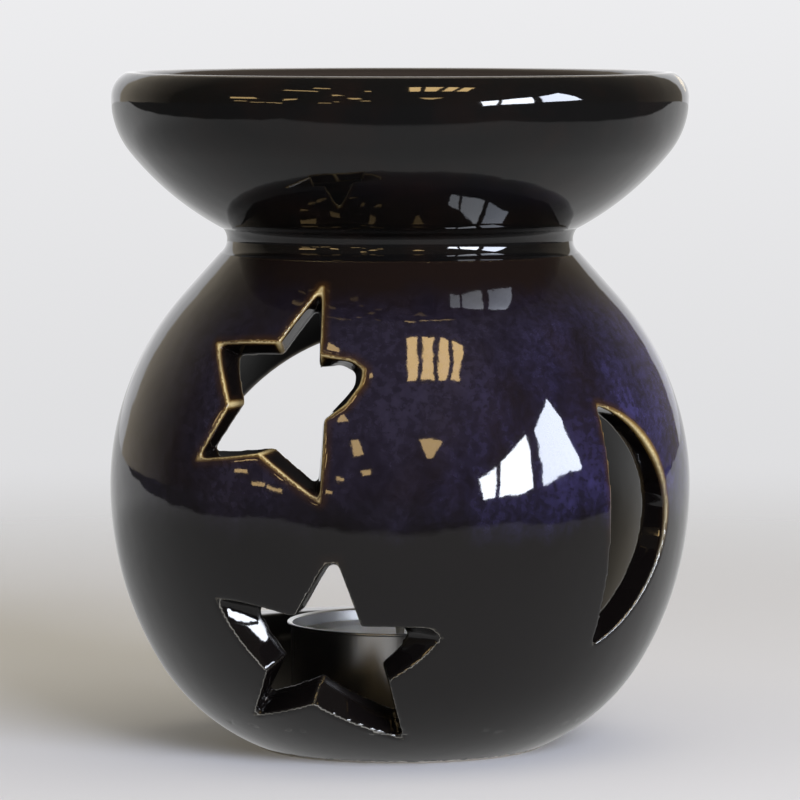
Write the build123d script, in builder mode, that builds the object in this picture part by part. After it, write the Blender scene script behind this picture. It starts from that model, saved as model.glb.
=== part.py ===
import os
from math import cos, radians, sin, sqrt

from build123d import *

# A glazed stoneware oil burner: a thrown globe with cut windows, an oil bowl stuck on its neck,
# and a tealight standing on the floor inside. Lengths are millimetres, angles are degrees.
# Z is up, the table is z = 0, the windows face -Y and the open back faces +Y.

# Globe
globe_radius = 50.2
equator_height = 45.0
foot_radius = 24.3
wall = 5.5
floor_thickness = 6.5
foot_round = 0.6
heel_shares = (0.679, 0.333)  # heel, between the foot and the equator
shoulder_shares = (0.329, 0.827)  # shoulder, between the neck and the equator

# Neck, where the bowl is stuck on the globe with a coil of clay
neck_rise = 43.0  # from the equator up to the joint
collar_radius = 28.0
seam_below = 2.5
seam_above = 1.7
seam_foot_width = 3.1
seam_head_width = 2.6
seam_waist_width = 1.9

# Oil bowl
bowl_height = 28.6  # from the joint up to the rim
rim_inset = 0.35  # the rim is as wide as the globe but for this much all round
rim_side_round = 4.8
rim_corner_round = 1.2
rim_corner_angle = 60.0  # how far the side has leaned in where the corner starts
rim_inner_roll = 4.2
bowl_floor = 4.2
bowl_floor_radius = 21.7
bowl_turn_shares = (0.824, 0.577)  # where the side turns under, between the seat and the rim
bowl_inner_turn_shares = (0.707, 0.293)  # the same inside, between the bowl's floor and the lip

# Windows: each facing is (round from the front, up from the equator). A star's cut narrows inwards,
# from its outline on the outer skin to a smaller one at the back, both as (angle, share of the
# star's radius), tip and notch in turn, with more than one point on a blunt tip
star_radius = 20.0
upper_star_facing = (-26.1, 23.3)
upper_star_shares = (
    (82.6, 0.98), (102.0, 0.43),
    (149.0, 0.84), (197.0, 0.47),
    (219.0, 0.92), (260.0, 0.55),
    (297.8, 1.00), (333.5, 0.51),
    (352.8, 0.62), (368.7, 0.71), (379.1, 0.74), (386.8, 0.67), (407.0, 0.45),
)
upper_star_back_shares = (
    (92.0, 0.84), (120.0, 0.45),
    (145.0, 0.70), (172.0, 0.43),
    (207.0, 0.78), (257.0, 0.29),
    (294.0, 0.58), (335.0, 0.21),
    (379.5, 0.32), (388.5, 0.44), (400.7, 0.48), (422.9, 0.42), (430.0, 0.28),
)
lower_star_facing = (-17.0, -30.8)
lower_star_shares = (
    (76.7, 0.935), (83.1, 0.915), (114.0, 0.48),
    (153.0, 1.02), (193.0, 0.51),
    (222.0, 1.01), (249.4, 0.40),
    (300.0, 0.97), (342.0, 0.53),
    (366.8, 0.92), (369.4, 0.98), (375.4, 0.95), (404.0, 0.51),
)
lower_star_back_shares = (
    (81.0, 0.64), (86.0, 0.63), (124.0, 0.31),
    (164.0, 0.18), (200.0, 0.28),
    (221.0, 0.88), (247.0, 0.11),
    (299.0, 0.72), (336.0, 0.31),
    (355.0, 0.19), (362.0, 0.18), (369.0, 0.19), (400.0, 0.26),
)
moon_height = 40.5
moon_facing = (51.6, -4.6)
moon_back_shares = ((-0.15, 0.50), (0.12, 0.345), (0.276, 0.06), (0.15, -0.29), (-0.11, -0.50))
moon_front_share = (-0.14, 0.03)
window_start_share = 0.5  # a window is cut from here outwards, of the globe's radius

# Arched opening at the back, for the tealight
arch_half_width = 35.0
arch_spring_rise = 2.3  # from the equator up to the end of the straight sides
arch_crown_rise = 25.0  # from the equator up to the crown
arch_corner_round = 9.0
sill_height = 18.9

# Tealight
tealight_radius = 19.0
tealight_height = 15.0
foil = 0.3
cup_corner_round = 1.2
cup_lip_width = 0.6
wax_clearance = 0.3
wax_drop = 2.0  # from the lip of the cup down to the wax
wax_edge_round = 0.8
wick_radius = 0.9
wick_rise = 6.0  # from the wax up to the tip
wick_gap = 0.05
sustainer_radius = 6.5
sustainer_sheet = 0.3
sustainer_neck_height = 3.5

# Heights and outline points that follow from the sizes above, as (radius, height)
joint_height = equator_height + neck_rise
seam_foot_height = joint_height - seam_below
seam_head_height = joint_height + seam_above
rim_height = joint_height + bowl_height
bowl_floor_height = joint_height + bowl_floor
inwards = Vector(-1, 0)
upwards = Vector(0, 1)


def between(low, high, shares):
    return Vector(low.X + shares[0] * (high.X - low.X), low.Y + shares[1] * (high.Y - low.Y))


def arc_centre(start, inward, end):
    # Centre of the arc that crosses start square to inward and passes through end
    step = end - start
    return start + inward * (step.dot(step) / (2 * step.dot(inward)))


equator = Vector(globe_radius, equator_height)
foot = Vector(foot_radius, 0)
heel = between(foot, equator, heel_shares)
heel_inward = (arc_centre(equator, inwards, heel) - heel).normalized()
heel_tangent = Vector(-heel_inward.Y, heel_inward.X)
heel_inside = heel + heel_inward * wall
foot_centre = arc_centre(heel, heel_inward, foot)
floor_arc_radius = (foot_centre - heel_inside).length
floor_reach = sqrt(floor_arc_radius**2 - (foot_centre.Y - floor_thickness) ** 2)
floor_edge = Vector(foot_centre.X + floor_reach, floor_thickness)

seam_foot = Vector(collar_radius + seam_foot_width, seam_foot_height)
seam_head = Vector(collar_radius + seam_head_width, seam_head_height)
seam_waist = Vector(collar_radius + seam_waist_width, joint_height)
neck_corner = Vector(seam_foot.X, equator_height)
shoulder = between(neck_corner, Vector(globe_radius, seam_foot_height), shoulder_shares)
shoulder_inward = (arc_centre(equator, inwards, shoulder) - shoulder).normalized()
shoulder_inside = shoulder + shoulder_inward * wall
equator_inside = Vector(globe_radius - wall, equator_height)
neck_slope = (seam_foot.X - shoulder.X) / (seam_foot.Y - shoulder.Y)
neck_mouth = Vector(shoulder_inside.X + neck_slope * (joint_height - shoulder_inside.Y), joint_height)

rim_radius = globe_radius - rim_inset
rim_lean = Vector(cos(radians(rim_corner_angle)), sin(radians(rim_corner_angle)))
rim_lean_tangent = Vector(-rim_lean.Y, rim_lean.X)
rim_rounds_gap = rim_side_round - rim_corner_round
rim_widest = Vector(rim_radius, rim_height - rim_corner_round - rim_rounds_gap * rim_lean.Y)
rim_side_centre = rim_widest + inwards * rim_side_round
rim_corner = rim_side_centre + rim_lean * rim_side_round
rim_crest = Vector(rim_side_centre.X + rim_rounds_gap * rim_lean.X, rim_height)
rim_lip = Vector(rim_crest.X - rim_inner_roll, rim_height - rim_inner_roll)
bowl_turn = between(seam_head, rim_widest, bowl_turn_shares)
turn_inward = (arc_centre(rim_widest, inwards, bowl_turn) - bowl_turn).normalized()
turn_tangent = Vector(-turn_inward.Y, turn_inward.X)
bowl_floor_edge = Vector(bowl_floor_radius, bowl_floor_height)
inner_turn = between(bowl_floor_edge, rim_lip, bowl_inner_turn_shares)
inner_turn_inward = (arc_centre(rim_lip, inwards, inner_turn) - inner_turn).normalized()
inner_turn_tangent = Vector(-inner_turn_inward.Y, inner_turn_inward.X)


def facing_plane(facing):
    turn, lift = radians(facing[0]), radians(facing[1])
    outward = (sin(turn) * cos(lift), -cos(turn) * cos(lift), sin(lift))
    return Plane(origin=(0, 0, equator_height), x_dir=(cos(turn), sin(turn), 0), z_dir=outward)


def star_point(angle, share):
    return Vector(share * star_radius * cos(radians(angle)), share * star_radius * sin(radians(angle)))


def star_points(shares, back_shares, height):
    # Outline of a star's cut at a height above the globe's centre, along the star's facing
    points = []
    for front_place, back_place in zip(shares, back_shares):
        front, back = star_point(*front_place), star_point(*back_place)
        front_height = sqrt(globe_radius**2 - front.length**2)
        points.append(back + (front - back) * ((height - star_back) / (front_height - star_back)))
    return points


def moon_point(shares):
    return (shares[0] * moon_height, shares[1] * moon_height)


window_start = window_start_share * globe_radius
window_depth = globe_radius
star_back = sqrt((globe_radius - wall) ** 2 - star_radius**2)
star_front = globe_radius + wall


with BuildPart() as globe:
    with BuildSketch(Plane.XZ):
        with BuildLine():
            Line((0, 0), foot)
            TangentArc(heel, foot, tangent=heel_tangent)
            TangentArc(equator, heel, tangent=-upwards)
            TangentArc(equator, shoulder, tangent=upwards)
            Polyline(
                shoulder,
                seam_foot,
                (collar_radius, seam_foot_height),
                (collar_radius, joint_height),
                neck_mouth,
                shoulder_inside,
            )
            TangentArc(equator_inside, shoulder_inside, tangent=upwards)
            TangentArc(equator_inside, heel_inside, tangent=-upwards)
            TangentArc(heel_inside, floor_edge, tangent=heel_tangent)
            Polyline(floor_edge, (0, floor_thickness), (0, 0))
        make_face()
    revolve(axis=Axis.Z)
    fillet(globe.edges().filter_by(GeomType.CIRCLE).sort_by(Axis.Z)[0], foot_round)

    for facing, shares, back_shares in (
        (upper_star_facing, upper_star_shares, upper_star_back_shares),
        (lower_star_facing, lower_star_shares, lower_star_back_shares),
    ):
        for height in (star_back, star_front):
            with BuildSketch(facing_plane(facing).offset(height)):
                with BuildLine():
                    Polyline(*star_points(shares, back_shares, height), close=True)
                make_face()
        loft(ruled=True, mode=Mode.SUBTRACT)

    with BuildSketch(facing_plane(moon_facing).offset(window_start)):
        with BuildLine():
            moon_back = Spline(*[moon_point(shares) for shares in moon_back_shares])
            ThreePointArc(moon_back @ 1, moon_point(moon_front_share), moon_back @ 0)
        make_face()
    extrude(amount=window_depth, mode=Mode.SUBTRACT)

    with BuildSketch(Plane.XZ.offset(-window_start)) as arch:
        with BuildLine():
            spring_height = equator_height + arch_spring_rise
            Polyline(
                (-arch_half_width, spring_height),
                (-arch_half_width, sill_height),
                (arch_half_width, sill_height),
                (arch_half_width, spring_height),
            )
            ThreePointArc(
                (arch_half_width, spring_height),
                (0, equator_height + arch_crown_rise),
                (-arch_half_width, spring_height),
            )
        make_face()
        fillet(arch.vertices().group_by(Axis.Z)[0], arch_corner_round)
    extrude(amount=-window_depth, mode=Mode.SUBTRACT)

with BuildPart() as bowl:
    with BuildSketch(Plane.XZ):
        with BuildLine():
            Polyline(
                (0, joint_height),
                (collar_radius, joint_height),
                (collar_radius, seam_head_height),
                seam_head,
            )
            TangentArc(bowl_turn, seam_head, tangent=turn_tangent)
            TangentArc(rim_widest, bowl_turn, tangent=-upwards)
            TangentArc(rim_widest, rim_corner, tangent=upwards)
            TangentArc(rim_corner, rim_crest, tangent=rim_lean_tangent)
            TangentArc(rim_crest, rim_lip, tangent=inwards)
            TangentArc(rim_lip, inner_turn, tangent=-upwards)
            TangentArc(inner_turn, bowl_floor_edge, tangent=inner_turn_tangent)
            Polyline(bowl_floor_edge, (0, bowl_floor_height), (0, joint_height))
        make_face()
    revolve(axis=Axis.Z)

with BuildPart() as neck_seam:
    with BuildSketch(Plane.XZ):
        with BuildLine():
            ThreePointArc(seam_foot, seam_waist, seam_head)
            Polyline(
                seam_head,
                (collar_radius, seam_head_height),
                (collar_radius, seam_foot_height),
                seam_foot,
            )
        make_face()
    revolve(axis=Axis.Z)

cup_floor_height = floor_thickness + foil
cup_lip_height = floor_thickness + tealight_height
wax_height = cup_lip_height - wax_drop
wax_radius = tealight_radius - foil - wax_clearance
neck_radius = wick_radius + wick_gap + sustainer_sheet

with BuildPart() as tealight_cup:
    with BuildSketch(Plane.XZ):
        with BuildLine():
            cup_side = FilletPolyline(
                (0, floor_thickness),
                (tealight_radius, floor_thickness),
                (tealight_radius, cup_lip_height - foil),
                radius=cup_corner_round,
            )
            cup_inside = FilletPolyline(
                (0, cup_floor_height),
                (tealight_radius - foil, cup_floor_height),
                (tealight_radius - foil, cup_lip_height),
                radius=cup_corner_round - foil,
            )
            Polyline(
                cup_side @ 1,
                (tealight_radius + cup_lip_width, cup_lip_height - foil),
                (tealight_radius + cup_lip_width, cup_lip_height),
                cup_inside @ 1,
            )
            Line(cup_side @ 0, cup_inside @ 0)
        make_face()
    revolve(axis=Axis.Z)

with BuildPart() as wick_sustainer:
    with BuildSketch(Plane.XZ):
        with BuildLine():
            Polyline(
                (wick_radius + wick_gap, cup_floor_height),
                (sustainer_radius, cup_floor_height),
                (sustainer_radius, cup_floor_height + sustainer_sheet),
                (neck_radius, cup_floor_height + sustainer_sheet),
                (neck_radius, cup_floor_height + sustainer_neck_height),
                (wick_radius + wick_gap, cup_floor_height + sustainer_neck_height),
                close=True,
            )
        make_face()
    revolve(axis=Axis.Z)

with BuildPart() as tealight_wick:
    with BuildSketch(Plane.XY.offset(cup_floor_height)):
        Circle(wick_radius)
    extrude(amount=wax_height + wick_rise - cup_floor_height)

with BuildPart() as tealight_wax:
    with BuildSketch(Plane.XZ):
        with BuildLine():
            Polyline(
                (wick_radius + wick_gap, wax_height),
                (wick_radius + wick_gap, cup_floor_height + sustainer_neck_height + wick_gap),
                (neck_radius + wick_gap, cup_floor_height + sustainer_neck_height + wick_gap),
                (neck_radius + wick_gap, cup_floor_height + sustainer_sheet + wick_gap),
                (sustainer_radius + wick_gap, cup_floor_height + sustainer_sheet + wick_gap),
                (sustainer_radius + wick_gap, cup_floor_height),
                (wax_radius, cup_floor_height),
                (wax_radius, wax_height),
                close=True,
            )
        make_face()
    revolve(axis=Axis.Z)
    outer_edges = tealight_wax.edges().filter_by(GeomType.CIRCLE).group_by(SortBy.RADIUS)[-1]
    fillet(outer_edges, wax_edge_round)

pieces = {
    "globe": globe,
    "bowl": bowl,
    "neck_seam": neck_seam,
    "tealight_cup": tealight_cup,
    "wick_sustainer": wick_sustainer,
    "tealight_wick": tealight_wick,
    "tealight_wax": tealight_wax,
}
os.makedirs("parts", exist_ok=True)
for name, piece in pieces.items():
    piece.part.label = name
    export_step(piece.part, f"parts/{name}.step")
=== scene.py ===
import math
from functools import partial

import bmesh
import bpy
import numpy as np
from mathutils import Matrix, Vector
from mathutils.kdtree import KDTree


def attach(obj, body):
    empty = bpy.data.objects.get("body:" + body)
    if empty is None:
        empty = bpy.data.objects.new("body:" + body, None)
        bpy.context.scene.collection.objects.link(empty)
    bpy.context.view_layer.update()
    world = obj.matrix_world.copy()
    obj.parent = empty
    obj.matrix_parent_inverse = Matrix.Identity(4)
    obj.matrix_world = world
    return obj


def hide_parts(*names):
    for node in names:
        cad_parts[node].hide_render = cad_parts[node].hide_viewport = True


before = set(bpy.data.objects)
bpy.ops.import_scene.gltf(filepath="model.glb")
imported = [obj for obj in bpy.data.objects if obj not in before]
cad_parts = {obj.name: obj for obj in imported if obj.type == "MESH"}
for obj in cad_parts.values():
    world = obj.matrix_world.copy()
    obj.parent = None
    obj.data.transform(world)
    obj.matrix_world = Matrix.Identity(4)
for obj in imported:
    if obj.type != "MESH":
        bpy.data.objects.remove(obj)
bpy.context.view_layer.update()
scene = bpy.context.scene
scene.view_settings.view_transform = "Standard"
mm = 0.001
weldGap = 0.002 * mm  # corners closer than this are one
tiny = 1e-6  # keeps a division from failing

# outline points of the thrown pieces, as in the solids: (radius, height) in mm
outline = {
    "foot": (24.3, 0.0),
    "heel": (41.89, 14.98),
    "equator": (50.2, 45.0),
    "shoulder": (37.38, 78.49),
    "seamFoot": (31.1, 85.5),
    "seamWaist": (29.9, 88.0),
    "seamHead": (30.6, 89.7),
    "bowlTurn": (46.46, 102.73),
    "rimWidest": (49.85, 112.28),
    "rimCorner": (47.45, 116.44),
    "rimCrest": (46.85, 116.6),
    "rimLip": (42.65, 112.4),
    "innerTurn": (36.51, 98.12),
    "bowlFloorEdge": (21.7, 92.2),
}
places = {name: Vector(point) for name, point in outline.items()}
inwards = Vector((-1, 0))
downwards = Vector((0, -1))
collarRadius = 28.0
jointHeight = 88.0
wall = 5.5


# small helpers for outlines, meshes and shader nodes

def arcCentre(start, inward, end):
    # centre of the arc that crosses start square to inward and runs through end
    step = end - start
    return start + inward * (step.dot(step) / (2 * step.dot(inward)))


def arcTo(start, inward, end, count):
    # points along that arc, start left out
    centre = arcCentre(start, inward, end)
    spoke = start - centre
    turn = -spoke.angle_signed(end - centre)
    points = []
    for step in range(1, count + 1):
        cos, sin = math.cos(turn * step / count), math.sin(turn * step / count)
        points.append(centre + Vector((spoke.x * cos - spoke.y * sin, spoke.x * sin + spoke.y * cos)))
    return points


def addObject(name, data):
    obj = bpy.data.objects.new(name, data)
    scene.collection.objects.link(obj)
    return obj


def spinOutline(name, points, steps, sharpAngle=50):
    # turns an outline of (radius, height) points in mm once round the pot's axis
    bm = bmesh.new()
    corners = [bm.verts.new((point[0] * mm, 0, point[1] * mm)) for point in points]
    edges = [bm.edges.new(pair) for pair in zip(corners, corners[1:])]
    bmesh.ops.spin(
        bm, geom=corners + edges, axis=(0, 0, 1), cent=(0, 0, 0), dvec=(0, 0, 0),
        angle=2 * math.pi, steps=steps, use_merge=True, use_duplicate=False,
    )
    bmesh.ops.remove_doubles(bm, verts=bm.verts, dist=weldGap)
    bmesh.ops.recalc_face_normals(bm, faces=bm.faces)
    for face in bm.faces:
        face.smooth = True
    for edge in bm.edges:
        edge.smooth = edge.calc_face_angle(0) < math.radians(sharpAngle)
    mesh = bpy.data.meshes.new(name)
    bm.to_mesh(mesh)
    bm.free()
    print(name, len(mesh.polygons), "faces")
    return addObject(name, mesh)


def paint(hexColour):
    # sRGB hex to a linear colour
    channels = [int(hexColour[start:start + 2], 16) / 255 for start in (1, 3, 5)]
    linear = [c / 12.92 if c <= 0.04045 else ((c + 0.055) / 1.055) ** 2.4 for c in channels]
    return (*linear, 1)


def addNode(tree, kind, links=(), **settings):
    # a node with its settings, and what goes into its sockets, by name or in order:
    # a number, a hex colour, a socket, or a node, which gives its first output in use
    node = tree.nodes.new("ShaderNode" + kind)
    for name, value in settings.items():
        setattr(node, name, value)
    inUse = [socket for socket in node.inputs if socket.enabled]
    for key, value in links.items() if isinstance(links, dict) else enumerate(links):
        socket = node.inputs[key] if isinstance(key, str) else inUse[key]
        if isinstance(value, bpy.types.Node):
            value = next(output for output in value.outputs if output.enabled)
        if isinstance(value, bpy.types.NodeSocket):
            tree.links.new(value, socket)
        else:
            socket.default_value = paint(value) if isinstance(value, str) else value
    return node


def newMaterial(name):
    # an empty material, and addNode for its nodes
    material = bpy.data.materials.new(name)
    material.use_nodes = True
    material.node_tree.nodes.clear()
    return material, partial(addNode, material.node_tree)


# the globe: the thrown wall with its windows

globe = {
    "voxel": 0.4,  # mm, grain of the softened copy
    "softenRounds": 6,
    "softenShare": 0.5,
    "triangles": 170000,  # what thinning aims at
    "keepFine": 2.2,  # mm from a cut edge that isn't thinned
    "sharpAngle": 30.0,  # degrees, what counts as a cut edge
    "edgeStep": 0.25,  # mm between points along a cut edge
    "edgeFade": (0.6, 1.4),  # mm from a cut edge over which the skin is trued up again
    "windowHeights": (2.5, 84.0),  # mm, cut edges lie between these
    "skinReach": 0.3,  # mm, how close to the outline the skin is taken for skin
    "slopeStep": 0.05,  # mm up and down, over which the skin's slope is taken
    "ledgeReach": 2.5,  # mm below the neck seam where the corner is kept crisp
    "floorHeights": (0.0, 6.5),  # mm, the flat foot and the floor inside
    "floorClear": (0.8, 1.0),  # mm above each, where the skin begins
}


def skinRadius(height, inset):
    # radius of the globe's skin at a height, inset mm inside the outer one
    foot, heel, equator, shoulder, seamFoot = (
        places[name] for name in ("foot", "heel", "equator", "shoulder", "seamFoot")
    )
    bellyCentre = arcCentre(equator, inwards, heel)
    shoulderCentre = arcCentre(equator, inwards, shoulder)
    footCentre = arcCentre(heel, (bellyCentre - heel).normalized(), foot)

    def onArc(centre, point):
        radius = (point - centre).length - inset
        return centre.x + np.sqrt(np.maximum(radius**2 - (height - centre.y) ** 2, 0))

    slope = (seamFoot.x - shoulder.x) / (seamFoot.y - shoulder.y)
    cone = shoulder.x + slope * (height - shoulder.y) - inset * math.hypot(1, slope)
    lower = np.where(height < heel.y, onArc(footCentre, heel), onArc(bellyCentre, equator))
    upper = np.where(height < shoulder.y, onArc(shoulderCentre, equator), cone)
    return np.where(height < equator.y, lower, upper)


def smoothStep(value, low, high):
    share = np.clip((value - low) / (high - low), 0, 1)
    return share * share * (3 - 2 * share)


def cutEdgePoints(bm, settings):
    # points along the cut edges of the windows, in mm
    points = []
    low, high = settings["windowHeights"]
    for edge in bm.edges:
        if not edge.is_convex or edge.calc_face_angle(0) < math.radians(settings["sharpAngle"]):
            continue
        first, second = (corner.co / mm for corner in edge.verts)
        if low < first.z < high:
            count = max(1, round((second - first).length / settings["edgeStep"]))
            points += [first.lerp(second, step / count) for step in range(count + 1)]
    return points


def nearestGap(points, wanted):
    # distance from each wanted point to the nearest of points
    tree = KDTree(len(points))
    for index, point in enumerate(points):
        tree.insert(point, index)
    tree.balance()
    return np.array([tree.find(point)[2] for point in wanted])


def evaluatedMesh(obj):
    # the mesh that an object's modifiers give, and the object goes
    depsgraph = bpy.context.evaluated_depsgraph_get()
    mesh = bpy.data.meshes.new_from_object(obj.evaluated_get(depsgraph))
    bpy.data.objects.remove(obj)
    return mesh


def meshPoints(mesh):
    # vertex places in mm, one row each
    coords = np.zeros(len(mesh.vertices) * 3)
    mesh.vertices.foreach_get("co", coords)
    return coords.reshape(-1, 3) / mm


def softenedCopy(settings):
    # a fine mesh of the solid with its edges rounded, and the points of its cut edges
    bm = bmesh.new()
    bm.from_mesh(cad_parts["globe"].data)
    bmesh.ops.remove_doubles(bm, verts=bm.verts, dist=weldGap)
    edgePoints = cutEdgePoints(bm, settings)
    mesh = bpy.data.meshes.new("globe_source")
    bm.to_mesh(mesh)
    bm.free()
    solid = addObject("globe_source", mesh)
    remesh = solid.modifiers.new("soften", "REMESH")
    remesh.mode = "VOXEL"
    remesh.voxel_size = settings["voxel"] * mm
    soft = evaluatedMesh(solid)
    bm = bmesh.new()
    bm.from_mesh(soft)
    for _ in range(settings["softenRounds"]):
        bmesh.ops.smooth_vert(
            bm, verts=bm.verts, factor=settings["softenShare"],
            use_axis_x=True, use_axis_y=True, use_axis_z=True,
        )
    bm.to_mesh(soft)
    bm.free()
    # thin it where nothing is cut
    gap = nearestGap(edgePoints, meshPoints(soft))
    solid = addObject("globe_fine", soft)
    plain = solid.vertex_groups.new(name="plain")
    plain.add(np.flatnonzero(gap > settings["keepFine"]).tolist(), 1.0, "REPLACE")
    thin = solid.modifiers.new("thin", "DECIMATE")
    thin.ratio = settings["triangles"] / (2 * len(soft.polygons))
    thin.vertex_group = plain.name
    return evaluatedMesh(solid), edgePoints


def makeGlobe(settings):
    # the cut edges are softened as thick glaze softens them, and the rest is trued up to the outline
    soft, edgePoints = softenedCopy(settings)
    coords = meshPoints(soft)
    gap = nearestGap(edgePoints, coords)
    trueUp = smoothStep(gap, *settings["edgeFade"])
    radius = np.hypot(coords[:, 0], coords[:, 1])
    height = coords[:, 2]
    for level in settings["floorHeights"]:
        onLevel = np.abs(height - level) < settings["skinReach"]
        coords[onLevel, 2] = level
    nearLedge = height > places["seamFoot"].y - settings["ledgeReach"]
    reach = np.where(nearLedge, settings["ledgeReach"], settings["skinReach"])
    around = coords[:, :2] / np.maximum(radius, tiny)[:, None]
    target = radius.copy()
    step = settings["slopeStep"]
    skins = []
    insets, facings = (0, wall), (1, -1)  # the outside and the inside
    for inset, facing, level, clear in zip(insets, facings, settings["floorHeights"], settings["floorClear"]):
        wanted = skinRadius(height, inset)
        slope = (skinRadius(height + step, inset) - skinRadius(height - step, inset)) / (2 * step)
        near = np.abs(radius - wanted) < reach
        near &= (height > level + clear) & (height < places["seamFoot"].y)
        target = np.where(near, wanted, target)
        skins.append((near, np.concatenate([around, -slope[:, None]], 1) * facing))
    scale = 1 + trueUp * (target / np.maximum(radius, tiny) - 1)
    coords[:, :2] *= scale[:, None]
    soft.vertices.foreach_set("co", (coords * mm).ravel())
    soft.update()
    # the skin's own normals, so that the gloss runs smoothly over it
    normals = np.zeros(len(soft.vertices) * 3)
    soft.vertex_normals.foreach_get("vector", normals)
    normals = normals.reshape(-1, 3)
    for near, exact in skins:
        exact = exact / np.linalg.norm(exact, axis=1)[:, None]
        share = (trueUp * near)[:, None]
        normals = normals * (1 - share) + exact * share
    normals /= np.maximum(np.linalg.norm(normals, axis=1), tiny)[:, None]
    # for the glaze: mm below the skin, and mm from the cut edge, less than 0 on the skin's side
    depth = skinRadius(height, 0) - radius
    edgeSide = np.where(depth > settings["skinReach"], gap, -gap)
    for name, values in (("edgeSide", edgeSide), ("skinDepth", depth)):
        soft.attributes.new(name, "FLOAT", "POINT").data.foreach_set("value", values)
    soft.shade_smooth()
    soft.normals_split_custom_set_from_vertices(normals)
    print("globe_wall", len(soft.polygons), "faces,", len(edgePoints), "cut edge points")
    return addObject("globe_wall", soft)


globeWall = makeGlobe(globe)

# the oil bowl: one turned outline with a rolled rim

bowl = {
    "arcSteps": 22,
    "rollSteps": 14,
    "cornerSteps": 6,
    "floorRings": (0.6, 0.3, 0),  # shares of the floor's radius
    "turns": 192,
}


def makeBowl(settings):
    rimWidest, rimCorner, rimCrest, rimLip, bowlTurn, innerTurn, floorEdge = (
        places[name]
        for name in ("rimWidest", "rimCorner", "rimCrest", "rimLip", "bowlTurn", "innerTurn", "bowlFloorEdge")
    )
    arcSteps, rollSteps = settings["arcSteps"], settings["rollSteps"]
    underInward = (arcCentre(rimWidest, inwards, bowlTurn) - bowlTurn).normalized()
    cornerInward = (arcCentre(rimWidest, inwards, rimCorner) - rimCorner).normalized()
    innerInward = (arcCentre(rimLip, inwards, innerTurn) - innerTurn).normalized()
    points = [Vector((0, jointHeight)), Vector((collarRadius, jointHeight))]
    points += [Vector((collarRadius, places["seamHead"].y))]
    points += reversed(arcTo(bowlTurn, underInward, places["seamHead"], arcSteps))
    points += reversed(arcTo(rimWidest, inwards, bowlTurn, arcSteps))
    points += [rimWidest]
    points += arcTo(rimWidest, inwards, rimCorner, rollSteps)
    points += arcTo(rimCorner, cornerInward, rimCrest, settings["cornerSteps"])
    points += arcTo(rimCrest, downwards, rimLip, rollSteps)
    points += arcTo(rimLip, inwards, innerTurn, arcSteps)
    points += arcTo(innerTurn, innerInward, floorEdge, arcSteps)
    points += [Vector((share * floorEdge.x, floorEdge.y)) for share in settings["floorRings"]]
    return spinOutline("oil_bowl", points, settings["turns"])


oilBowl = makeBowl(bowl)

# the neck seam: the coil of clay pressed into the joint

neckSeam = {"arcSteps": 16, "turns": 192}


def makeNeckSeam(settings):
    seamFoot, seamWaist, seamHead = (places[name] for name in ("seamFoot", "seamWaist", "seamHead"))
    # centre of the circle through the three points
    first, second = seamWaist - seamFoot, seamHead - seamFoot
    square = 2 * (first.x * second.y - first.y * second.x)
    centre = seamFoot + Vector((
        (second.y * first.length_squared - first.y * second.length_squared) / square,
        (first.x * second.length_squared - second.x * first.length_squared) / square,
    ))
    points = [Vector((collarRadius, seamFoot.y)), seamFoot]
    points += arcTo(seamFoot, (centre - seamFoot).normalized(), seamHead, settings["arcSteps"])
    points += [Vector((collarRadius, seamHead.y)), Vector((collarRadius, seamFoot.y))]
    return spinOutline("neck_coil", points, settings["turns"])


neckCoil = makeNeckSeam(neckSeam)

# the tealight: a drawn cup with a rolled lip, a wax block and a wick, all in mm

tealightCup = {
    "floor": 6.5,
    "radius": 19.0,
    "height": 15.0,
    "foil": 0.3,
    "cornerRound": 1.2,
    "cornerSteps": 8,
    "lipRoll": 0.3,
    "lipTurn": (17.2, 285.0),  # degrees, how far round the lip is rolled
    "lipSteps": 12,
    "stackRing": (14.0, 15.0, 0.25),  # radii and depth of the ring pressed in the bottom
    "turns": 128,
}


def makeTealightCup(settings):
    floor, radius, foil, roll = (settings[name] for name in ("floor", "radius", "foil", "lipRoll"))
    corner, steps = settings["cornerRound"], settings["cornerSteps"]
    lip = floor + settings["height"]
    ringInner, ringOuter, ringDepth = settings["stackRing"]
    points = [Vector((0, floor + ringDepth)), Vector((ringInner, floor + ringDepth))]
    points += [Vector((ringOuter, floor)), Vector((radius - corner, floor))]
    points += arcTo(points[-1], -downwards, Vector((radius, floor + corner)), steps)
    points += [Vector((radius, lip - 2 * roll))]
    rollCentre = Vector((radius + roll, lip - roll))
    points += [
        rollCentre + roll * Vector((-math.cos(angle), -math.sin(angle)))
        for angle in np.linspace(*np.radians(settings["lipTurn"]), settings["lipSteps"])
    ]
    inside = radius - foil
    points += [Vector((inside, lip - roll)), Vector((inside, floor + corner))]
    points += arcTo(points[-1], inwards, Vector((inside - corner + foil, floor + foil)), steps)
    points += [Vector((ringOuter, floor + foil)), Vector((ringInner, floor + foil + ringDepth))]
    points += [Vector((0, floor + foil + ringDepth))]
    return spinOutline("tealight_cup_foil", points, settings["turns"])


tealightWax = {
    "gap": 0.3,  # to the foil
    "drop": 2.0,  # below the lip
    "bevel": 0.6,  # round the bottom
    "edge": (0.2, 0.15),  # how far in and down the top edge is broken
    "meniscus": (1.6, 0.7),  # how far in and how high the wax climbs its edge
    "meniscusShares": (0.15, 1, 8),  # first, last and how many steps along it
    "wickDip": (5.0, 0.35),  # radius and depth of the dip round the wick
    "dipSteps": 10,
    "sharpAngle": 70,
}


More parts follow.
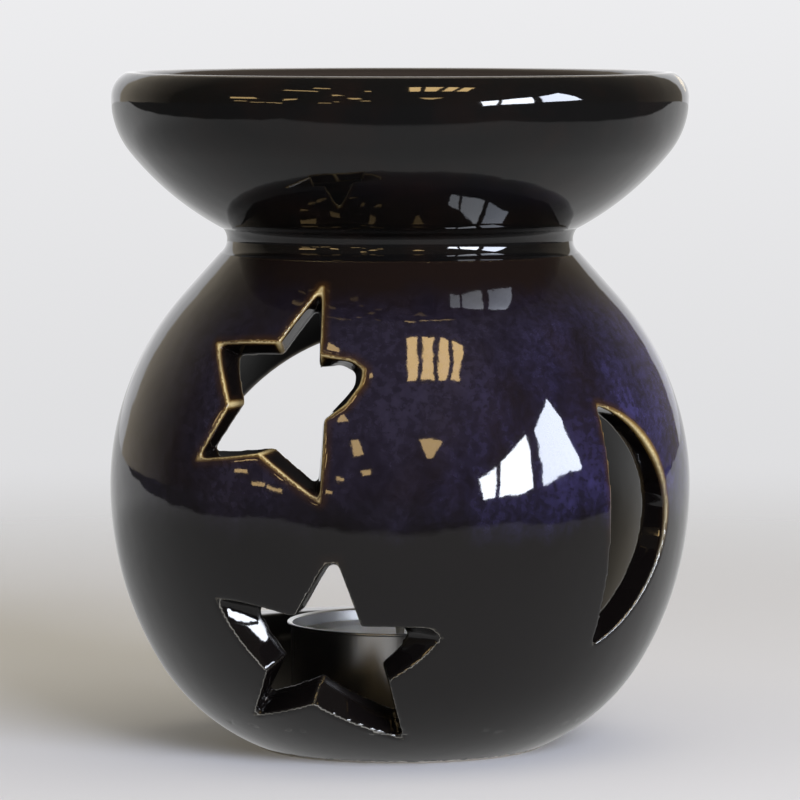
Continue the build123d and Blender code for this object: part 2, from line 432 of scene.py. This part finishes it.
def makeTealightWax(settings, cup):
    bottom = cup["floor"] + cup["foil"]
    top = cup["floor"] + cup["height"] - settings["drop"]
    radius = cup["radius"] - cup["foil"] - settings["gap"]
    bevel = settings["bevel"]
    edgeIn, edgeDown = settings["edge"]
    climb, rise = settings["meniscus"]
    dipRadius, dipDepth = settings["wickDip"]
    points = [Vector((0, bottom)), Vector((radius - bevel, bottom)), Vector((radius, bottom + bevel))]
    points += [Vector((radius, top - edgeDown)), Vector((radius - edgeIn, top))]
    points += [
        Vector((radius - edgeIn - climb * share, top - rise * (1 - (1 - share) ** 2)))
        for share in np.linspace(*settings["meniscusShares"])
    ]
    points += [
        Vector((dipRadius * share, top - rise - dipDepth * (1 - share * share) ** 2))
        for share in np.linspace(1, 0, settings["dipSteps"])
    ]
    return spinOutline("tealight_wax_block", points, cup["turns"], settings["sharpAngle"])


tealightWick = {
    "radius": 0.9,
    "core": 0.82,  # the rod's share of that radius
    "rise": 6.0,  # above the wax
    "sides": 16,
    "rings": 60,
    "strands": 4,
    "plaitTurn": 26.0,  # how far the strands turn over the wick's length
    "swell": 0.14,  # how far they stand out
}


def makeTealightWick(settings, cup, wax):
    # a braided wick: a rod with plaited swellings
    bottom = cup["floor"] + cup["foil"]
    top = cup["floor"] + cup["height"] - wax["drop"] + settings["rise"]
    rise = Vector((0, 0, (top - bottom) / settings["rings"] * mm))
    bm = bmesh.new()
    ring = bmesh.ops.create_circle(
        bm, cap_ends=True, segments=settings["sides"], radius=settings["radius"] * settings["core"] * mm
    )["verts"]
    bmesh.ops.translate(bm, verts=ring, vec=(0, 0, bottom * mm))
    faces = list(bm.faces)
    for _ in range(settings["rings"]):
        grown = bmesh.ops.extrude_face_region(bm, geom=faces)["geom"]
        bmesh.ops.delete(bm, geom=faces, context="FACES_ONLY")
        faces = [part for part in grown if isinstance(part, bmesh.types.BMFace)]
        moved = [part for part in grown if isinstance(part, bmesh.types.BMVert)]
        bmesh.ops.translate(bm, verts=moved, vec=rise)
    for corner in bm.verts:
        turn = settings["plaitTurn"] * (corner.co.z / mm - bottom) / (top - bottom)
        angle = settings["strands"] * math.atan2(corner.co.y, corner.co.x)
        swell = 1 + settings["swell"] * math.sin(angle + turn) * math.sin(angle - turn)
        corner.co.x *= swell
        corner.co.y *= swell
    bmesh.ops.recalc_face_normals(bm, faces=bm.faces)
    for face in bm.faces:
        face.smooth = True
    mesh = bpy.data.meshes.new("tealight_wick_braid")
    bm.to_mesh(mesh)
    bm.free()
    print("tealight_wick_braid", len(mesh.polygons), "faces")
    return addObject("tealight_wick_braid", mesh)


cupFoil = makeTealightCup(tealightCup)
waxBlock = makeTealightWax(tealightWax, tealightCup)
wickBraid = makeTealightWick(tealightWick, tealightCup, tealightWax)

# glazes

cobaltGlaze = {
    "black": "#0e0b0a",
    "rust": "#1a120e",
    "brown": "#19120f",
    "indigo": "#141017",
    "cobalt": "#2a2531",
    "bright": "#3a3563",
    "halo": "#33200f",
    "thin": ("#4a463a", "#806434"),  # where the glaze runs thin over an edge, low and high on the pot
    "bare": ("#858177", "#d2bd86"),  # the middle of that line
    "clay": "#e2d8c6",
    # patterns: size in mm, detail, roughness and distortion
    "clouds": (12.0, 5.0, 0.62, 0.4),  # in the blue
    "flecks": (1.3, 3.0, 0.6, 0.0),  # in the clouds
    "pools": (19.0, 4.0, 0.65, 0.0),  # brown places where the iron shows through
    "wobble": (3.2, 3.0, 0.5, 0.0),  # of the edge lines
    "stretches": (8.0, 1.0, 0.5, 0.0),  # brighter and duller, along the edge lines
    "run": 0.6,  # how much longer the clouds and pools are along the height
    "cloudShares": (0.31, 0.67),
    "fleckShares": (0.38, 0.62, 0.3, 1.0),
    "poolShares": (0.50, 0.72, 0.0, 0.65),
    "stretchShares": (0.35, 0.62, 0.45, 1.0),
    "brightSide": (7.0, 46.0),  # mm to the right, over which the blue gets brighter
    "brightMost": 0.8,
    "brightLean": -0.6,  # and how much sooner it does so for each mm further down
    "blueBottom": (39.5, 50.0),  # mm, where the blue comes in
    "blueTop": (73.0, 84.0),  # mm, where it goes over to rust
    "blueDepth": (1.2, 0.4),  # mm below the skin, where it ends in a cut
    "wave": 12.0,  # mm, how far the colour edges wander
    "lineHeights": (34.0, 54.0),  # mm, over which the edge lines go from low to high
    "lineHalf": (0.22, 0.52),  # mm, half their width
    "lineRight": (33.0, 41.0),  # mm to the right, over which they get wider
    "lineWider": 1.9,
    "lineIn": (0.05, 0.18),  # mm, how far down the cut their middle lies
    "lineWave": 0.22,  # mm, how far their sides wander
    "thinEdge": (1.5, 0.7),  # shares of half the width, over which the thin glaze comes in
    "bareEdge": (0.95, 0.15),  # and the bare middle
    "haloOut": (-2.0, -0.25),  # mm from the edge, over which the halo comes in on the skin
    "haloDown": (1.8, 0.6),  # and in the cut
    "cutFade": (0.8, 4.0, 1.0, 0.25),  # mm below the skin, over which the lines get duller, and how dull
    "unglazed": (0.55, 0.25),  # mm above the table, over which the bare clay comes in
    "footWave": 0.8,  # mm, how far that edge wanders
    "insideDepth": (4.6, 5.2),  # mm below the skin, where the cut goes over to the duller inside
    "roughness": (0.04, 0.3, 0.85),  # outside, inside and where it is bare
    "ior": 1.5,
    "ripple": (11.0, 0.35),  # mm, size and depth of the dips in the glaze
    "peel": (1.2, 0.012),  # mm, size and depth of its fine orange peel
    "dipStrength": 0.35,
}


def glazeDips(add, place, settings):
    # slow dips and a fine orange peel in the glassy surface
    links = {"Strength": settings["dipStrength"]}
    for size, depth in (settings["ripple"], settings["peel"]):
        height = add("TexNoise", {"Vector": place, "Scale": 1 / (size * mm)})
        links["Normal"] = add("Bump", {**links, "Distance": depth * mm, "Height": height})
    return links["Normal"]


def cobaltTenmokuGlaze(settings):
    # fired iron glaze with cobalt brushed on the shoulder: wet gloss, clouded blue over black,
    # breaking to amber and bare buff where it runs thin over cut edges
    material, add = newMaterial("cobalt_tenmoku_glaze")
    smooth = {"interpolation_type": "SMOOTHSTEP"}
    colours = {"data_type": "RGBA"}
    place = add("TexCoord").outputs["Object"]
    sideways, _, height = add("SeparateXYZ", (place,)).outputs
    depth = add("Attribute", attribute_name="skinDepth").outputs["Fac"]
    edgeSide = add("Attribute", attribute_name="edgeSide").outputs["Fac"]
    drawn = add("Mapping", {"Vector": place, "Scale": (1, 1, settings["run"])})
    patterns = {}
    for name in ("clouds", "flecks", "pools", "wobble", "stretches"):
        size, detail, roughness, distortion = settings[name]
        patterns[name] = add("TexNoise", {
            "Vector": drawn if name in ("clouds", "pools") else place, "Scale": 1 / (size * mm),
            "Detail": detail, "Roughness": roughness, "Distortion": distortion,
        })
    # the blue band
    wander = add("Math", (patterns["clouds"], settings["wave"] * mm, height), operation="MULTIPLY_ADD")
    bottom, top = (
        [(edge + settings["wave"] / 2) * mm for edge in settings[name]] for name in ("blueBottom", "blueTop")
    )
    band = add("Math", (
        add("MapRange", (wander, *bottom), **smooth), add("MapRange", (wander, *reversed(top)), **smooth),
    ), operation="MULTIPLY")
    band = add("Math", (band, add("MapRange", (depth, *settings["blueDepth"]))), operation="MULTIPLY")
    bright = add("Math", (
        add("MapRange", (patterns["clouds"], *settings["cloudShares"])),
        add("MapRange", (patterns["flecks"], *settings["fleckShares"])),
    ), operation="MULTIPLY")
    lean = settings["brightLean"]
    leant = add("Math", (height, lean, sideways), operation="MULTIPLY_ADD")
    middle = lean * (settings["blueBottom"][1] + settings["blueTop"][0]) / 2
    start, end = ((edge + middle) * mm for edge in settings["brightSide"])
    right = add("MapRange", (leant, start, end, 0, settings["brightMost"]))
    blue = add("Mix", (right, settings["cobalt"], settings["bright"]), **colours)
    blue = add("Mix", (bright, settings["indigo"], blue), **colours)
    pooled = add("MapRange", (patterns["pools"], *settings["poolShares"]))
    blue = add("Mix", (pooled, blue, settings["brown"]), **colours)
    rusty = add("MapRange", (wander, *top))
    glaze = add("Mix", (rusty, settings["black"], settings["rust"]), **colours)
    glaze = add("Mix", (band, glaze, blue), **colours)
    # edge lines: how far off their middle, in halves of their width, and how clearly they show
    wavy = add("Math", (patterns["wobble"], settings["lineWave"], edgeSide), operation="MULTIPLY_ADD")
    wavy = add("Math", (wavy, settings["lineWave"] / 2), operation="SUBTRACT")
    high = add("MapRange", (height, *(edge * mm for edge in settings["lineHeights"])))
    half = add("MapRange", (high, 0, 1, *settings["lineHalf"]))
    start, end = (edge * mm for edge in settings["lineRight"])
    wider = add("MapRange", (sideways, start, end, 1, settings["lineWider"]))
    half = add("Math", (half, wider), operation="MULTIPLY")
    away = add("Math", (wavy, add("MapRange", (high, 0, 1, *settings["lineIn"]))), operation="SUBTRACT")
    away = add("Math", (add("Math", (away,), operation="ABSOLUTE"), half), operation="DIVIDE")
    showing = add("Math", (
        add("MapRange", (depth, *settings["cutFade"])),
        add("MapRange", (patterns["stretches"], *settings["stretchShares"])),
    ), operation="MULTIPLY")
    halo = add("Math", (
        add("MapRange", (wavy, *settings["haloOut"]), **smooth),
        add("MapRange", (wavy, *settings["haloDown"])),
    ), operation="MINIMUM")
    halo = add("Math", (halo, high), operation="MULTIPLY")
    thin = add("MapRange", (away, *settings["thinEdge"]))
    bare = add("MapRange", (away, *settings["bareEdge"]))
    thinColour, bareColour = (add("Mix", (high, *settings[name]), **colours) for name in ("thin", "bare"))
    for share, colour in ((halo, settings["halo"]), (thin, thinColour), (bare, bareColour)):
        glaze = add("Mix", (add("Math", (share, showing), operation="MULTIPLY"), glaze, colour), **colours)
    # bare clay at the foot
    footEdge = add("Math", (patterns["flecks"], -settings["footWave"] * mm, height), operation="MULTIPLY_ADD")
    start, end = ((edge - settings["footWave"] / 2) * mm for edge in settings["unglazed"])
    unglazed = add("MapRange", (footEdge, start, end))
    outside, inside, rough = settings["roughness"]
    roughness = add("MapRange", (depth, *settings["insideDepth"], outside, inside))
    surface = add("BsdfPrincipled", {
        "Base Color": add("Mix", (unglazed, glaze, settings["clay"]), **colours),
        "Roughness": add("MapRange", (unglazed, 0, 1, roughness, rough)),
        "IOR": settings["ior"], "Normal": glazeDips(add, place, settings),
    })
    add("OutputMaterial", {"Surface": surface})
    return material


ironGlaze = {
    "black": "#0c0b0a",
    "rust": "#150e0b",
    "inside": "#332c26",
    # painted highlight: the pale grey line where the rim's crest mirrors the bright backdrop
    "paintedCrestHighlight": "#8d8577",
    "chip": "#c9b68e",
    # patterns: size in mm, detail and roughness
    "clouds": (9.0, 4.0, 0.6),
    "flecks": (1.4, 3.0, 0.5),
    "rustShares": (0.45, 0.75),
    "insideSlope": 0.85,  # the middle of the wall leans out by this much for each mm of height
    "insideCone": (-52.0, -54.5),  # mm, radius less lean, from the outside over to the inside
    "crestHeights": (116.25, 116.6),  # mm, over which the painted highlight along the crest comes in
    "crestMost": 0.6,
    "crestWave": 0.12,  # mm, how far its lower edge wanders
    "chipMiddle": (48.0, -9.5, 115.0),  # mm, where the glaze is chipped off the rim
    "chipReach": (3.9, 3.3),  # mm from there
    "chipWave": 4.0,  # mm, how ragged its edge is
    "roughness": 0.04,
    "ior": 1.5,
    "ripple": (12.0, 0.35),  # mm, size and depth of the dips in the glaze
    "peel": (1.2, 0.012),  # mm, size and depth of its fine orange peel
    "dipStrength": 0.35,
}


def tenmokuGlaze(settings):
    # black iron glaze: glassy, rust brown where it pools inside, with a painted highlight: a pale line along
    # the crest of the rim
    material, add = newMaterial("tenmoku_glaze")
    place = add("TexCoord").outputs["Object"]
    height = add("SeparateXYZ", (place,)).outputs["Z"]
    patterns = {}
    for name in ("clouds", "flecks"):
        size, detail, roughness = settings[name]
        patterns[name] = add("TexNoise", {
            "Vector": place, "Scale": 1 / (size * mm), "Detail": detail, "Roughness": roughness,
        })
    rusty = add("MapRange", (patterns["clouds"], *settings["rustShares"]))
    out = add("VectorMath", (place, (1, 1, 0)), operation="MULTIPLY")
    out = add("VectorMath", (out,), operation="LENGTH")
    cone = add("Math", (height, -settings["insideSlope"], out), operation="MULTIPLY_ADD")
    within = add("MapRange", (cone, *(edge * mm for edge in settings["insideCone"])))
    level = add("Math", (patterns["flecks"], settings["crestWave"] * mm, height), operation="MULTIPLY_ADD")
    low, high = ((edge + settings["crestWave"] / 2) * mm for edge in settings["crestHeights"])
    # painted highlight along the rim's crest, coming in just below the crest
    paintedCrestHighlight = add("MapRange", (level, low, high, 0, settings["crestMost"]))
    middle = [edge * mm for edge in settings["chipMiddle"]]
    off = add("VectorMath", (place, middle), operation="DISTANCE")
    off = add("Math", (patterns["flecks"], settings["chipWave"] * mm, off), operation="MULTIPLY_ADD")
    chipped = add("MapRange", (off, *(edge * mm for edge in settings["chipReach"])))
    colour = settings["black"]
    for share, name in ((rusty, "rust"), (within, "inside"), (paintedCrestHighlight, "paintedCrestHighlight"), (chipped, "chip")):
        colour = add("Mix", (share, colour, settings[name]), data_type="RGBA")
    surface = add("BsdfPrincipled", {
        "Base Color": colour, "Roughness": settings["roughness"], "IOR": settings["ior"],
        "Normal": glazeDips(add, place, settings),
    })
    add("OutputMaterial", {"Surface": surface})
    return material


# the tealight's materials

foilFinish = {
    "colour": "#d9dadc",
    "line": 0.7,  # mm, width of the draw lines
    "drawn": 0.06,  # how little they change along the height
    "roughness": (0.22, 0.42),
    "bump": (0.25, 0.05),  # strength, and depth in mm
}


def drawnAluminium(settings):
    # thin deep-drawn foil: bright, with fine upright draw lines
    material, add = newMaterial("drawn_aluminium")
    place = add("TexCoord").outputs["Object"]
    drawn = add("Mapping", {"Vector": place, "Scale": (1, 1, settings["drawn"])})
    lines = add("TexNoise", {"Vector": drawn, "Scale": 1 / (settings["line"] * mm)})
    strength, depth = settings["bump"]
    surface = add("BsdfPrincipled", {
        "Base Color": settings["colour"], "Metallic": 1.0,
        "Roughness": add("MapRange", (lines, 0, 1, *settings["roughness"])),
        "Normal": add("Bump", {"Strength": strength, "Distance": depth * mm, "Height": lines}),
    })
    add("OutputMaterial", {"Surface": surface})
    return material


waxFinish = {
    "colours": ("#e9e4d8", "#f6f3ea"),
    "mark": 3.0,  # mm, size of the cooling marks
    "markDetail": 4.0,
    "bump": (0.3, 0.08),  # strength, and depth in mm
    "roughness": 0.42,
    "ior": 1.44,
    "milky": 0.35,
    "milkyReach": 1.5,  # mm, how far light goes in
    "milkyColour": (1.0, 0.9, 0.7),  # shares of that for red, green and blue
}


def paraffinWax(settings):
    # cast paraffin: milky, light goes in a little way, dull skin with faint cooling marks
    material, add = newMaterial("paraffin_wax")
    place = add("TexCoord").outputs["Object"]
    marks = add("TexNoise", {
        "Vector": place, "Scale": 1 / (settings["mark"] * mm), "Detail": settings["markDetail"],
    })
    strength, depth = settings["bump"]
    surface = add("BsdfPrincipled", {
        "Base Color": add("Mix", (marks, *settings["colours"]), data_type="RGBA"),
        "Roughness": settings["roughness"], "IOR": settings["ior"],
        "Normal": add("Bump", {"Strength": strength, "Distance": depth * mm, "Height": marks}),
        "Subsurface Weight": settings["milky"], "Subsurface Radius": settings["milkyColour"],
        "Subsurface Scale": settings["milkyReach"] * mm,
    })
    add("OutputMaterial", {"Surface": surface})
    return material


cottonFinish = {
    "colours": ("#cfc6b2", "#f0eadb"),
    "plait": 4.5,  # mm, scale of the slanting shadows
    "distortion": 1.5,
    "roughness": 0.75,
}


def braidedCotton(settings):
    # wax-dipped cotton braid: off-white with slanting plait shadows
    material, add = newMaterial("braided_cotton")
    place = add("TexCoord").outputs["Object"]
    plait = add("TexWave", {
        "Vector": place, "Scale": 1 / (settings["plait"] * mm), "Distortion": settings["distortion"],
    }, bands_direction="DIAGONAL").outputs["Fac"]
    surface = add("BsdfPrincipled", {
        "Base Color": add("Mix", (plait, *settings["colours"]), data_type="RGBA"),
        "Roughness": settings["roughness"],
    })
    add("OutputMaterial", {"Surface": surface})
    return material


tinFinish = {
    "colour": "#b9babb",
    "stain": 1.5,  # mm, size of the duller places
    "stainDetail": 3.0,
    "roughness": (0.3, 0.5),
}


def tinPlate(settings):
    # stamped tin plate: grey, half bright
    material, add = newMaterial("tin_plate")
    place = add("TexCoord").outputs["Object"]
    stain = add("TexNoise", {
        "Vector": place, "Scale": 1 / (settings["stain"] * mm), "Detail": settings["stainDetail"],
    })
    surface = add("BsdfPrincipled", {
        "Base Color": settings["colour"], "Metallic": 1.0,
        "Roughness": add("MapRange", (stain, 0, 1, *settings["roughness"])),
    })
    add("OutputMaterial", {"Surface": surface})
    return material


ironBlack = tenmokuGlaze(ironGlaze)
dressing = (
    # piece, material, body, CAD node, slot
    (globeWall, cobaltTenmokuGlaze(cobaltGlaze), "burner", "globe", "globe_glaze"),
    (oilBowl, ironBlack, "burner", "bowl", "bowl_glaze"),
    (neckCoil, ironBlack, "burner", "neck_seam", "seam_glaze"),
    (cupFoil, drawnAluminium(foilFinish), "tealight", "tealight_cup", "cup_foil"),
    (waxBlock, paraffinWax(waxFinish), "candle", "tealight_wax", "candle_wax"),
    (wickBraid, braidedCotton(cottonFinish), "candle", "tealight_wick", "wick_cotton"),
)
for piece, material, body, node, slot in dressing:
    piece.data.materials.clear()
    piece.data.materials.append(material)
    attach(piece, body)
    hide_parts(node)
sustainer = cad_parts["wick_sustainer"]
sustainer.data.materials.clear()
sustainer.data.materials.append(tinPlate(tinFinish))
print("dressed", len(dressing), "pieces")

# stage: a pale floor, pale surroundings behind, and lights in front

floorSheet = {
    "radius": 3.0,  # m
    "sides": 64,
    "colour": "#c9c9ca",
    "lift": 0.095,  # light that only the camera sees, which lifts the shadows on the floor
    "liftColour": "#fff4de",
    "fade": (0.16, 0.55),  # m from the pot, over which the floor goes over to the backdrop
    # edges of the sheet, as the glaze mirrors it: which way each faces, and how many m off it lies
    "edges": (((0, -1, 0), 0.23), ((-1, -0.75, 0), 0.42), ((1, -0.75, 0), 0.37)),
    "edgeSoft": 0.035,  # m
    "beyond": 0.08,  # brightness past these edges
    "mirrored": (0.42, 0.74),  # brightness of the sheet as the glaze mirrors it, in front and behind
    "mirroredDepths": (-0.1, 0.3),  # m, between which it changes
    "shade": 0.8,  # the pot's shadow, as the glaze mirrors it
    "shadeMiddle": (-0.2, 0.08, 0.0),  # m
    "shadeReach": (0.05, 0.3),  # m
}


def paleSheet(settings):
    # matt white card: the camera sees it fade into the backdrop, and the glaze mirrors it up to its edges
    material, add = newMaterial("pale_sheet")
    smooth = {"interpolation_type": "SMOOTHSTEP"}
    place = add("TexCoord").outputs["Object"]
    depth = add("SeparateXYZ", (place,)).outputs["Y"]
    rays = add("LightPath").outputs
    out = -settings["radius"]
    for facing, reach in settings["edges"]:
        off = add("VectorMath", (place, facing), operation="DOT_PRODUCT")
        off = add("Math", (off, reach), operation="SUBTRACT")
        out = add("Math", (out, off), operation="MAXIMUM")
    beyond = add("MapRange", (out, 0, settings["edgeSoft"]))
    mirrored = add("MapRange", (depth, *settings["mirroredDepths"], *settings["mirrored"]))
    aside = add("VectorMath", (place, settings["shadeMiddle"]), operation="DISTANCE")
    shade = add("MapRange", (aside, *settings["shadeReach"], settings["shade"]), **smooth)
    mirrored = add("Math", (mirrored, shade), operation="MULTIPLY")
    mirrored = add("Mix", (beyond, mirrored, settings["beyond"]))
    glow = add("Emission", {"Strength": mirrored})
    lift = add("Math", (rays["Is Camera Ray"], settings["lift"]), operation="MULTIPLY")
    lift = add("Emission", {"Color": settings["liftColour"], "Strength": lift})
    card = add("AddShader", (add("BsdfDiffuse", {"Color": settings["colour"]}), lift))
    card = add("MixShader", (rays["Is Glossy Ray"], card, glow))
    away = add("VectorMath", (place,), operation="LENGTH")
    fade = add("MapRange", (away, *settings["fade"]), **smooth)
    fade = add("Math", (fade, rays["Is Camera Ray"]), operation="MULTIPLY")
    add("OutputMaterial", {"Surface": add("MixShader", (fade, card, add("BsdfTransparent")))})
    return material


def makeFloor(settings):
    bm = bmesh.new()
    bmesh.ops.create_circle(bm, cap_ends=True, segments=settings["sides"], radius=settings["radius"])
    mesh = bpy.data.meshes.new("floor")
    bm.to_mesh(mesh)
    bm.free()
    floor = addObject("floor", mesh)
    mesh.materials.append(paleSheet(settings))


makeFloor(floorSheet)

surroundings = {
    "backdrop": (0.67, 0.86),  # brightness seen by the camera, low and high
    "backdropHeights": (-0.155, 0.0),  # between which it changes
    "white": "#fdfdff",
    "fill": 0.22,  # plain light from all sides on what isn't glossy
    # what the glaze mirrors: dark in front and above, side walls, and the bright backdrop behind
    "dark": 0.08,
    "bright": 1.05,
    "brightTurn": -0.04,  # how far the backdrop's middle lies off to one side
    "brightEdge": (0.855, 0.868),
    "sides": (0.3, 0.72),  # right and left, where they meet the backdrop
    "sideMeet": (0.3, -0.3),
    "sideDepths": (0.2, 0.78),
    "sideColour": "#f2e6d2",
    "top": (0.85, 0.35),
}


def makeSurroundings(settings):
    world = bpy.data.worlds.new("surroundings")
    scene.world = world
    world.use_nodes = True
    world.node_tree.nodes.clear()
    add = partial(addNode, world.node_tree)
    colours = {"data_type": "RGBA"}
    toRight, toBack, up = add("SeparateXYZ", (add("TexCoord").outputs["Generated"],)).outputs
    rays = add("LightPath").outputs
    side = add("MapRange", (toRight, *settings["sideMeet"], *settings["sides"]))
    side = add("MapRange", (toBack, *settings["sideDepths"], settings["dark"], side))
    turned = add("Math", (toRight, settings["brightTurn"], toBack), operation="MULTIPLY_ADD")
    behind = add("MapRange", (turned, *settings["brightEdge"]))
    room = add("Mix", (behind, side, settings["bright"]))
    room = add("Mix", (add("MapRange", (up, *settings["top"])), settings["dark"], room))
    room = add("Mix", (rays["Is Glossy Ray"], settings["fill"], room))
    pale = add("MapRange", (up, *settings["backdropHeights"], *settings["backdrop"]))
    tint = add("Mix", (behind, settings["sideColour"], settings["white"]), **colours)
    tint = add("Mix", (rays["Is Glossy Ray"], settings["white"], tint), **colours)
    strength = add("Mix", (rays["Is Camera Ray"], room, pale))
    add("OutputWorld", {"Surface": add("Background", {"Color": tint, "Strength": strength})})


makeSurroundings(surroundings)

# light panels, as seen from the pot: (round from the front, up) in degrees, corner by corner
lightPanels = {
    "panel_left": {
        "corners": ((31, 8), (32, -1), (37, 0), (38, 11)), "colour": "#eef4ff", "strength": 30.0,
    },
    "panel_middle": {
        "corners": ((40, 12), (39, 0), (53, 2), (53, 20)), "colour": "#eef4ff", "strength": 30.0,
    },
    "panel_right": {
        "corners": ((57, 21), (57, 3), (75, 7), (69, 30)), "colour": "#e6eeff", "strength": 24.0,
    },
    "warm_slats": {
        "corners": ((5.5, 64), (4.5, 46), (32.6, 44), (46, 57)),
        "slats": 4,
        "gap": 0.32,  # share of each slat's width
        "colour": "#ffd896",
        "strength": 13.0,
    },
}
# small warm panels, which the glaze also shows
warmSpots = {
    "colour": "#ffd896",
    "strength": 8.5,
    "corners": (
        ((7.7, 22.3), (11, 16), (12.6, 16), (16.8, 22)),
        ((-17.5, 48), (-16.5, 45), (-13.2, 45.5), (-14.2, 48.5)),
        ((-28.5, 32.5), (-27, 28), (-22.3, 29.2), (-25.5, 33)),
        ((-20.6, 21), (-18.5, 16), (-15, 16.9), (-17, 21.6)),
        ((-15.9, 10.9), (-14.6, 9), (-11.1, 9.1), (-11.6, 11.3)),
        ((-24.7, 7.6), (-24.6, 6.4), (-22.3, 6.5), (-22.3, 7.7)),
        ((-48, 57.5), (-47, 54.5), (-37, 54), (-38, 56.5)),
        ((-56, 46.5), (-56, 44), (-38, 42.5), (-38, 45)),
        ((-71, 18), (-70, 13.5), (-57, 14.5), (-59, 19)),
        ((-46, 14.5), (-46, 9), (-40, 12), (-40, 16)),
        ((-67.2, 7), (-67, 5.6), (-60.8, 6.1), (-61, 7.2)),
        ((-59.5, 4.4), (-59.5, 3.3), (-54, 3.1), (-54, 4.1)),
        ((-53, 3.7), (-53, 2.5), (-46, 1), (-46, 2.1)),
        ((-32, 3.5), (-32, 2), (-26, 1.8), (-26, 3)),
    ),
}
panelDistance = 1.5  # m
panelAim = Vector((0, 0, 0.05))


def towards(turn, lift):
    turn, lift = math.radians(turn), math.radians(lift)
    return Vector((math.sin(turn) * math.cos(lift), -math.cos(turn) * math.cos(lift), math.sin(lift)))


def makeLightPanel(name, settings):
    # one quad, or as many slats side by side
    topLeft, lowLeft, lowRight, topRight = (
        panelAim + panelDistance * towards(*corner) for corner in settings["corners"]
    )
    count, gap = settings.get("slats", 1), settings.get("gap", 0.0)
    bm = bmesh.new()
    for slat in range(count):
        near, far = slat / count, (slat + 1 - gap) / count
        quad = (
            topLeft.lerp(topRight, near), lowLeft.lerp(lowRight, near),
            lowLeft.lerp(lowRight, far), topLeft.lerp(topRight, far),
        )
        bmesh.ops.contextual_create(bm, geom=[bm.verts.new(corner) for corner in quad])
    mesh = bpy.data.meshes.new(name)
    bm.to_mesh(mesh)
    bm.free()
    panel = addObject(name, mesh)
    panel.visible_camera = False
    panel.visible_diffuse = False
    material, add = newMaterial(name + "_glow")
    glow = add("Emission", {"Color": settings["colour"], "Strength": settings["strength"]})
    add("OutputMaterial", {"Surface": glow})
    mesh.materials.append(material)


for panelName, panelSettings in lightPanels.items():
    makeLightPanel(panelName, panelSettings)
for number, corners in enumerate(warmSpots["corners"], 1):
    makeLightPanel(f"warm_spot_{number}", {**warmSpots, "corners": corners})

# soft lamps that light the pot without showing in the glaze
softLamps = {
    "overhead": {"place": (0.25, -0.2, 1.3), "size": 1.4, "power": 9.4, "colour": "#fff3d8"},
    "side": {"place": (0.58, -1.05, 0.53), "size": 0.7, "power": 25.5, "colour": "#e2e9ff"},
}


def makeSoftLamp(name, settings):
    lamp = bpy.data.lights.new(name, "AREA")
    lamp.energy = settings["power"]
    lamp.size = settings["size"]
    lamp.color = paint(settings["colour"])[:3]
    light = addObject(name, lamp)
    light.location = settings["place"]
    light.rotation_euler = (panelAim - light.location).to_track_quat("-Z", "Y").to_euler()
    light.visible_glossy = False


for lampName, lampSettings in softLamps.items():
    makeSoftLamp(lampName, lampSettings)
print("stage set")

photoCamera = {
    "distance": 905.0,  # mm from the pot's axis
    "height": 131.7,  # mm
    "pitch": 4.54,  # degrees down
    "lens": 235.8,
    "sensor": 36.0,
}
camera = addObject("camera", bpy.data.cameras.new("camera"))
camera.data.lens = photoCamera["lens"]
camera.data.sensor_width = photoCamera["sensor"]
camera.location = (0, -photoCamera["distance"] * mm, photoCamera["height"] * mm)
camera.rotation_euler = (math.radians(90 - photoCamera["pitch"]), 0, 0)
scene.camera = camera
